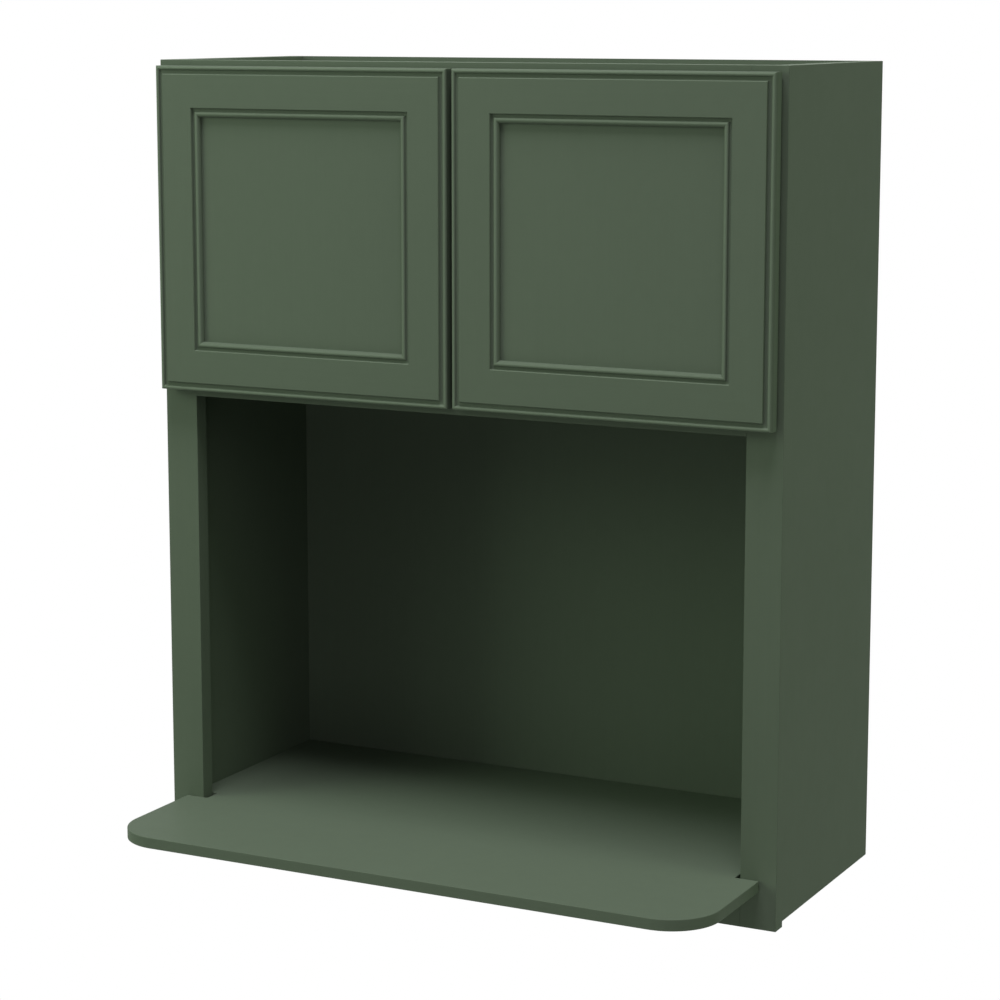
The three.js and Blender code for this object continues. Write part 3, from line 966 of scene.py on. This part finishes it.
@dataclass(frozen=True)
class ScrewShape:
    """A low cross-recessed head. The shares are of its height, its radius and its recess."""

    head_radius: float
    head_height: float
    recess_length: float
    recess_width: float
    recess_depth: float
    rim_share: float = 0.45
    crown_share: float = 0.72
    recess_bottom_share: float = 0.45
    cutter_share: float = 1.2
    rounding_steps: int = 5
    sides: int = 32

    def mesh(self, name: str) -> bpy.types.Mesh:
        """Builds the head, standing on Z = 0 with its recess facing +Z.

        Args:
            name: The mesh's name.

        Returns:
            The mesh, which all such screws share.
        """
        rim, crown = self.rim_share * self.head_height, self.crown_share * self.head_radius
        profile = [(self.head_radius, 0.0), (self.head_radius, rim)]
        for step in range(1, self.rounding_steps + 1):
            turn = math.pi / 2 * step / self.rounding_steps
            radius = crown + (self.head_radius - crown) * math.cos(turn)
            profile.append((radius, rim + (self.head_height - rim) * math.sin(turn)))
        head = self.spun(profile)
        bars = [self.bar(turn) for turn in (0.0, math.pi / 2)]
        for bar in bars:
            cut = head.modifiers.new("recess", "BOOLEAN")
            cut.object, cut.operation, cut.solver = bar, "DIFFERENCE", "EXACT"
        graph = bpy.context.evaluated_depsgraph_get()
        mesh = bpy.data.meshes.new_from_object(head.evaluated_get(graph))
        mesh.name = name
        for scrap in (head, *bars):
            bpy.data.objects.remove(scrap)
        log.info("%s: %d faces", name, len(mesh.polygons))
        return mesh

    def spun(self, profile: Sequence[Span]) -> bpy.types.Object:
        """Spins a profile round Z into a closed solid.

        Args:
            profile: Radius and height of each ring, from the bottom up.

        Returns:
            The solid.
        """
        form = bmesh.new()
        rings = []
        for radius, height in profile:
            ring = []
            for i in range(self.sides):
                turn = 2 * math.pi * i / self.sides
                spot = (radius * math.cos(turn), radius * math.sin(turn), height)
                ring.append(form.verts.new(spot))
            rings.append(ring)
        form.faces.new(list(reversed(rings[0])))
        for lower, upper in zip(rings, rings[1:]):
            for i in range(self.sides):
                j = (i + 1) % self.sides
                form.faces.new((lower[i], lower[j], upper[j], upper[i]))
        form.faces.new(rings[-1])
        return to_object(form, "head_blank")

    def bar(self, turn: float) -> bpy.types.Object:
        """Makes one of the two tapering bars that cut the cross recess.

        Args:
            turn: Its turn round Z, in radians.

        Returns:
            The bar.
        """
        form = bmesh.new()
        top, bottom = self.head_height * self.cutter_share, self.head_height - self.recess_depth
        corners = []
        for height, share in ((bottom, self.recess_bottom_share), (top, 1.0)):
            for u, v in ((-1, -1), (1, -1), (1, 1), (-1, 1)):
                x, y = u * self.recess_length / 2 * share, v * self.recess_width / 2
                spot = Matrix.Rotation(turn, 3, "Z") @ Vector((x, y, height))
                corners.append(form.verts.new(spot))
        form.faces.new(corners[3::-1])
        form.faces.new(corners[4:])
        for i in range(4):
            j = (i + 1) % 4
            form.faces.new((corners[i], corners[j], corners[4 + j], corners[4 + i]))
        return to_object(form, "recess_cutter")


FLAT_HEAD = ScrewShape(
    head_radius=3.4 * MM,
    head_height=0.6 * MM,
    recess_length=3.6 * MM,
    recess_width=0.9 * MM,
    recess_depth=0.45 * MM,
)
DOMED_HEAD = ScrewShape(
    head_radius=3.6 * MM,
    head_height=1.9 * MM,
    recess_length=4.0 * MM,
    recess_width=1.0 * MM,
    recess_depth=1.3 * MM,
)


@dataclass(frozen=True)
class ScrewPair:
    """Two like screws, one above the other. The turns are the recesses', in degrees."""

    name: str
    mesh: bpy.types.Mesh
    middle: tuple[float, float, float]
    spacing: float
    facing: tuple[float, float, float]
    turns: Span
    body: str

    def drive(self, plate: bpy.types.Material) -> None:
        """Puts the two heads in place, the lower one first.

        Args:
            plate: Their finish.
        """
        if not self.mesh.materials:
            self.mesh.materials.append(plate)
        x, y, z = self.middle
        stand = Vector(self.facing).to_track_quat("Z", "Y").to_matrix().to_4x4()
        for end, word, turn in zip((-1, 1), ("lower", "upper"), self.turns):
            screw = bpy.data.objects.new(f"{self.name}_{word}", self.mesh)
            bpy.context.scene.collection.objects.link(screw)
            spot = Matrix.Translation((x, y, z + end * self.spacing / 2))
            screw.matrix_world = spot @ stand @ Matrix.Rotation(math.radians(turn), 4, "Z")
            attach(screw, self.body)
            log.info("%s on %s", screw.name, self.body)


@dataclass(frozen=True)
class CupHinge:
    """One cup hinge: its cup and pin on the door, its arm on the frame, and its four screws."""

    side: Side
    level: str
    heads: dict[str, bpy.types.Mesh]
    flange_screw_inset: float = 10.5 * MM
    flange_screw_spacing: float = 42 * MM
    flange_screw_turns: Span = (-30.0, 70.0)
    tab_screw_inset: float = 7.75 * MM
    tab_screw_spacing: float = 24 * MM
    tab_screw_turns: Span = (10.0, 60.0)
    edge: float = 0.12 * MM

    def dress(self, finishes: Finishes) -> None:
        """Plates the hinge and drives its screws.

        Args:
            finishes: The finishes to choose from.
        """
        start = f"{self.side.word}_{self.level}_hinge_"
        for part in ("cup", "pin", "arm"):
            dress(start + part, finishes.nickel, EasedEdges(self.edge))
        self.flange_screws(start).drive(finishes.screw)
        self.tab_screws(start).drive(finishes.screw)

    def flange_screws(self, start: str) -> ScrewPair:
        """Places the two flat heads on the cup's flange, facing the frame.

        Args:
            start: How the names of the hinge's parts start.

        Returns:
            The pair.
        """
        low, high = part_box(start + "cup")
        inward = -self.side.value
        inner = high.x if self.side is Side.LEFT else low.x
        return ScrewPair(
            name=start + "cup_screw",
            mesh=self.heads["flat"],
            middle=(inner - inward * self.flange_screw_inset, high.y, (low.z + high.z) / 2),
            spacing=self.flange_screw_spacing,
            facing=(0, 1, 0),
            turns=self.flange_screw_turns,
            body=f"{self.side.word}_door",
        )

    def tab_screws(self, start: str) -> ScrewPair:
        """Places the two domed heads on the arm's tab, facing into the cabinet.

        Args:
            start: How the names of the hinge's parts start.

        Returns:
            The pair.
        """
        low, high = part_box(start + "arm")
        face = high.x if self.side is Side.LEFT else low.x
        return ScrewPair(
            name=start + "arm_screw",
            mesh=self.heads["domed"],
            middle=(face, high.y - self.tab_screw_inset, (low.z + high.z) / 2),
            spacing=self.tab_screw_spacing,
            facing=(-self.side.value, 0, 0),
            turns=self.tab_screw_turns,
            body="cabinet",
        )


@dataclass(frozen=True)
class BackStaples:
    """Wire staples that hold the back in its rabbets, as one piece.

    The taper gives the wire's size at places along the crown, from -1 at one end to 1 at the other.
    """

    inset: float = 5 * MM
    top_inset: float = 19 * MM
    bottom_inset: float = 22 * MM
    crown: float = 9 * MM
    wire: float = 1.3 * MM
    sunk: float = 0.1 * MM
    proud: float = 0.08 * MM
    spacing: float = 118 * MM
    sides: int = 10
    taper: tuple[Span, ...] = (
        (-1.0, 0.55),
        (-0.9, 0.9),
        (-0.75, 1.0),
        (0.75, 1.0),
        (0.9, 0.9),
        (1.0, 0.55),
    )

    def build(self, finishes: Finishes) -> None:
        """Drives the staples along the back's four edges.

        Args:
            finishes: The finishes to choose from.
        """
        low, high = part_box("back_panel")
        form = bmesh.new()
        rows = [((x, low.z), (x, high.z)) for x in (low.x + self.inset, high.x - self.inset)]
        heights = (high.z - self.top_inset, low.z + self.bottom_inset)
        rows += [((low.x, z), (high.x, z)) for z in heights]
        for start, end in rows:
            run = Vector(end) - Vector(start)
            count = max(2, round(run.length / self.spacing))
            for i in range(count):
                middle = Vector(start) + run * (i + 0.5) / count
                self.add_crown(form, middle, run.normalized())
        staples = to_object(form, "back_staples")
        staples.location.y = high.y
        staples.data.materials.append(finishes.staple)
        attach(staples, "cabinet")
        log.info("back_staples on cabinet")

    def add_crown(self, form: bmesh.types.BMesh, middle: Vector, along: Vector) -> None:
        """Adds one crown: a short flattened wire with rounded ends, driven almost flush.

        Args:
            form: The mesh code to add it to.
            middle: The crown's middle, as X and Z.
            along: The way that it runs, as X and Z.
        """
        rings = []
        for share, size in self.taper:
            ring = []
            for i in range(self.sides):
                turn = 2 * math.pi * i / self.sides
                across = Vector((-along.y, along.x)) * math.cos(turn) * size * self.wire / 2
                spot = middle + along * share * (self.crown / 2) + across
                depth = -self.sunk + size * (self.sunk + self.proud) * math.sin(turn)
                ring.append(form.verts.new((spot.x, depth, spot.y)))
            rings.append(ring)
        form.faces.new(rings[0])
        form.faces.new(list(reversed(rings[-1])))
        for first, second in zip(rings, rings[1:]):
            for i in range(self.sides):
                j = (i + 1) % self.sides
                form.faces.new((first[i], second[i], second[j], first[j]))


# ---------------------------------------------------------------- studio


@dataclass(frozen=True)
class Softbox:
    """A square lamp that looks at the cabinet.

    Azimuth 0 is in front of the cabinet and 90 to its right; elevation is above the horizon.
    """

    name: str
    azimuth: float
    elevation: float
    distance: float
    size: float
    power: float
    colour: Colour
    in_gloss: bool = True

    def hang(self, aim: Vector) -> None:
        """Hangs the lamp.

        Args:
            aim: The point that it looks at.
        """
        data = bpy.data.lights.new(self.name, "AREA")
        data.shape = "SQUARE"
        data.size = self.size
        data.energy = self.power
        data.color = self.colour
        lamp = bpy.data.objects.new(self.name, data)
        a, e = math.radians(self.azimuth), math.radians(self.elevation)
        back = Vector((math.sin(a) * math.cos(e), -math.cos(a) * math.cos(e), math.sin(e)))
        lamp.location = aim + back * self.distance
        lamp.rotation_mode = "QUATERNION"
        lamp.rotation_quaternion = (-back).to_track_quat("-Z", "Y")
        lamp.visible_camera = False
        lamp.visible_glossy = self.in_gloss
        bpy.context.scene.collection.objects.link(lamp)
        log.info("lamp %s", self.name)


@dataclass(frozen=True)
class Studio:
    """White surroundings, a pale floor far below the hung cabinet, and soft lamps."""

    lamps: tuple[Softbox, ...] = (
        Softbox("key", -56.0, 14.0, 3.6, 1.9, 56.0, (0.92, 1.0, 0.88)),
        Softbox("high", -45.0, 30.0, 2.4, 1.2, 9.4, (0.92, 1.0, 0.92)),
        Softbox("top", 15.0, 75.0, 3.6, 1.6, 150.0, (0.93, 0.85, 1.0)),
        Softbox("fill", 50.0, 25.0, 3.6, 1.6, 8.5, (0.96, 0.86, 1.0)),
        Softbox("side", 85.0, 20.0, 3.6, 1.6, 28.5, (0.88, 1.0, 0.8)),
        Softbox("low", 15.0, -5.0, 3.6, 1.6, 12.0, (0.97, 0.88, 1.0)),
        Softbox("rear", 180.0, 15.0, 3.6, 2.0, 80.0, (1.0, 1.0, 1.0), in_gloss=False),
    )
    air: float = 0.04
    floor_drop: float = 1.37
    floor_radius: float = 2.6
    floor_sides: int = 96
    floor_fade: Span = (0.55, 0.98)
    floor_colour: Colour = (0.86, 0.86, 0.86)
    floor_glow: float = 0.3
    floor_grain_pitch: float = 90.0
    floor_grain_tone: Span = (0.985, 1.0)

    def build(self) -> None:
        """Hangs the lamps, lays the floor and lights the air."""
        low, high = CAD_BOX
        aim = (low + high) / 2
        for lamp in self.lamps:
            lamp.hang(aim)
        self.lay_floor(aim, low.z - self.floor_drop)
        self.light_air()

    def light_air(self) -> None:
        """White for what the eye, gloss and glass see, and a plain soft level for the rest."""
        world = bpy.data.worlds.new("studio_air")
        world.use_nodes = True
        world.node_tree.nodes.clear()
        add = partial(add_node, world.node_tree)
        rays = add("ShaderNodeLightPath").outputs
        seen = rays["Is Camera Ray"]
        for ray in ("Is Glossy Ray", "Is Transmission Ray"):
            seen = add("ShaderNodeMath", {0: seen, 1: rays[ray]}, operation="MAXIMUM").outputs[0]
        soft, white = (
            add("ShaderNodeBackground", {"Color": rgba((1.0, 1.0, 1.0)), "Strength": level})
            for level in (self.air, 1.0)
        )
        mix = add("ShaderNodeMixShader", {0: seen, 1: soft.outputs[0], 2: white.outputs[0]})
        add("ShaderNodeOutputWorld", {0: mix.outputs[0]})
        bpy.context.scene.world = world

    def lay_floor(self, aim: Vector, height: float) -> None:
        """Lays a round pale floor that fades out at its rim.

        Args:
            aim: The cabinet's middle.
            height: The floor's height.
        """
        form = bmesh.new()
        bmesh.ops.create_circle(
            form, cap_ends=True, segments=self.floor_sides, radius=self.floor_radius
        )
        floor = to_object(form, "studio_floor")
        floor.location = (aim.x, aim.y, height)
        floor.data.materials.append(self.floor_finish())
        log.info("studio floor at z = %.3f", height)

    def floor_finish(self) -> bpy.types.Material:
        """Makes the floor's finish.

        Returns:
            The material.
        """
        sheet = Sheet("studio_floor_white")
        away = sheet.add("ShaderNodeVectorMath", {0: sheet.place}, operation="LENGTH")
        fade = [share * self.floor_radius for share in self.floor_fade]
        cover = sheet.spread(away.outputs["Value"], 1.0, 0.0, *fade)
        grain = sheet.noise(self.floor_grain_pitch, detail=3.0)
        colour = sheet.tint(self.floor_colour, sheet.spread(grain, *self.floor_grain_tone))
        board = sheet.add("ShaderNodeBsdfDiffuse", {"Color": colour})
        glow = sheet.add("ShaderNodeEmission", {"Strength": self.floor_glow})
        lit = sheet.add("ShaderNodeAddShader", {0: board.outputs[0], 1: glow.outputs[0]})
        clear = sheet.add("ShaderNodeBsdfTransparent")
        inputs = {0: cover, 1: clear.outputs[0], 2: lit.outputs[0]}
        mixed = sheet.add("ShaderNodeMixShader", inputs)
        sheet.add("ShaderNodeOutputMaterial", {"Surface": mixed.outputs[0]})
        return sheet.material


@dataclass(frozen=True)
class Viewpoint:
    """The camera, at the photograph's angle. Its angles are in degrees."""

    place: tuple[float, float, float] = (1.3936, -2.9268, 0.5078)
    turn: float = 26.93
    tilt_down: float = 9.05
    lens: float = 99.10
    sensor_width: float = 36.0
    shift_down: float = 0.05

    def build(self) -> None:
        """Puts up the camera."""
        data = bpy.data.cameras.new("photo_camera")
        data.lens = self.lens
        data.sensor_width = self.sensor_width
        data.sensor_fit = "HORIZONTAL"
        data.shift_y = -self.shift_down
        camera = bpy.data.objects.new("photo_camera", data)
        camera.location = self.place
        camera.rotation_euler = (math.radians(90 - self.tilt_down), 0, math.radians(self.turn))
        bpy.context.scene.collection.objects.link(camera)
        bpy.context.scene.camera = camera
        log.info("camera in place")


# ---------------------------------------------------------------- the whole


def main() -> None:
    """Builds the whole scene."""
    logging.basicConfig(level=logging.INFO, format="%(message)s")
    bpy.context.scene.view_settings.view_transform = "Standard"
    Viewpoint().build()
    finishes = Finishes()
    FaceFrame().dress(finishes)
    Carcass().dress(finishes)
    OvenShelf().dress(finishes)
    heads = {"flat": FLAT_HEAD.mesh("flat_head"), "domed": DOMED_HEAD.mesh("domed_head")}
    for side in Side:
        Door(side).dress(finishes)
        for level in ("upper", "lower"):
            CupHinge(side, level, heads).dress(finishes)
    BackStaples().build(finishes)
    Studio().build()


if __name__ == "__main__":
    main()
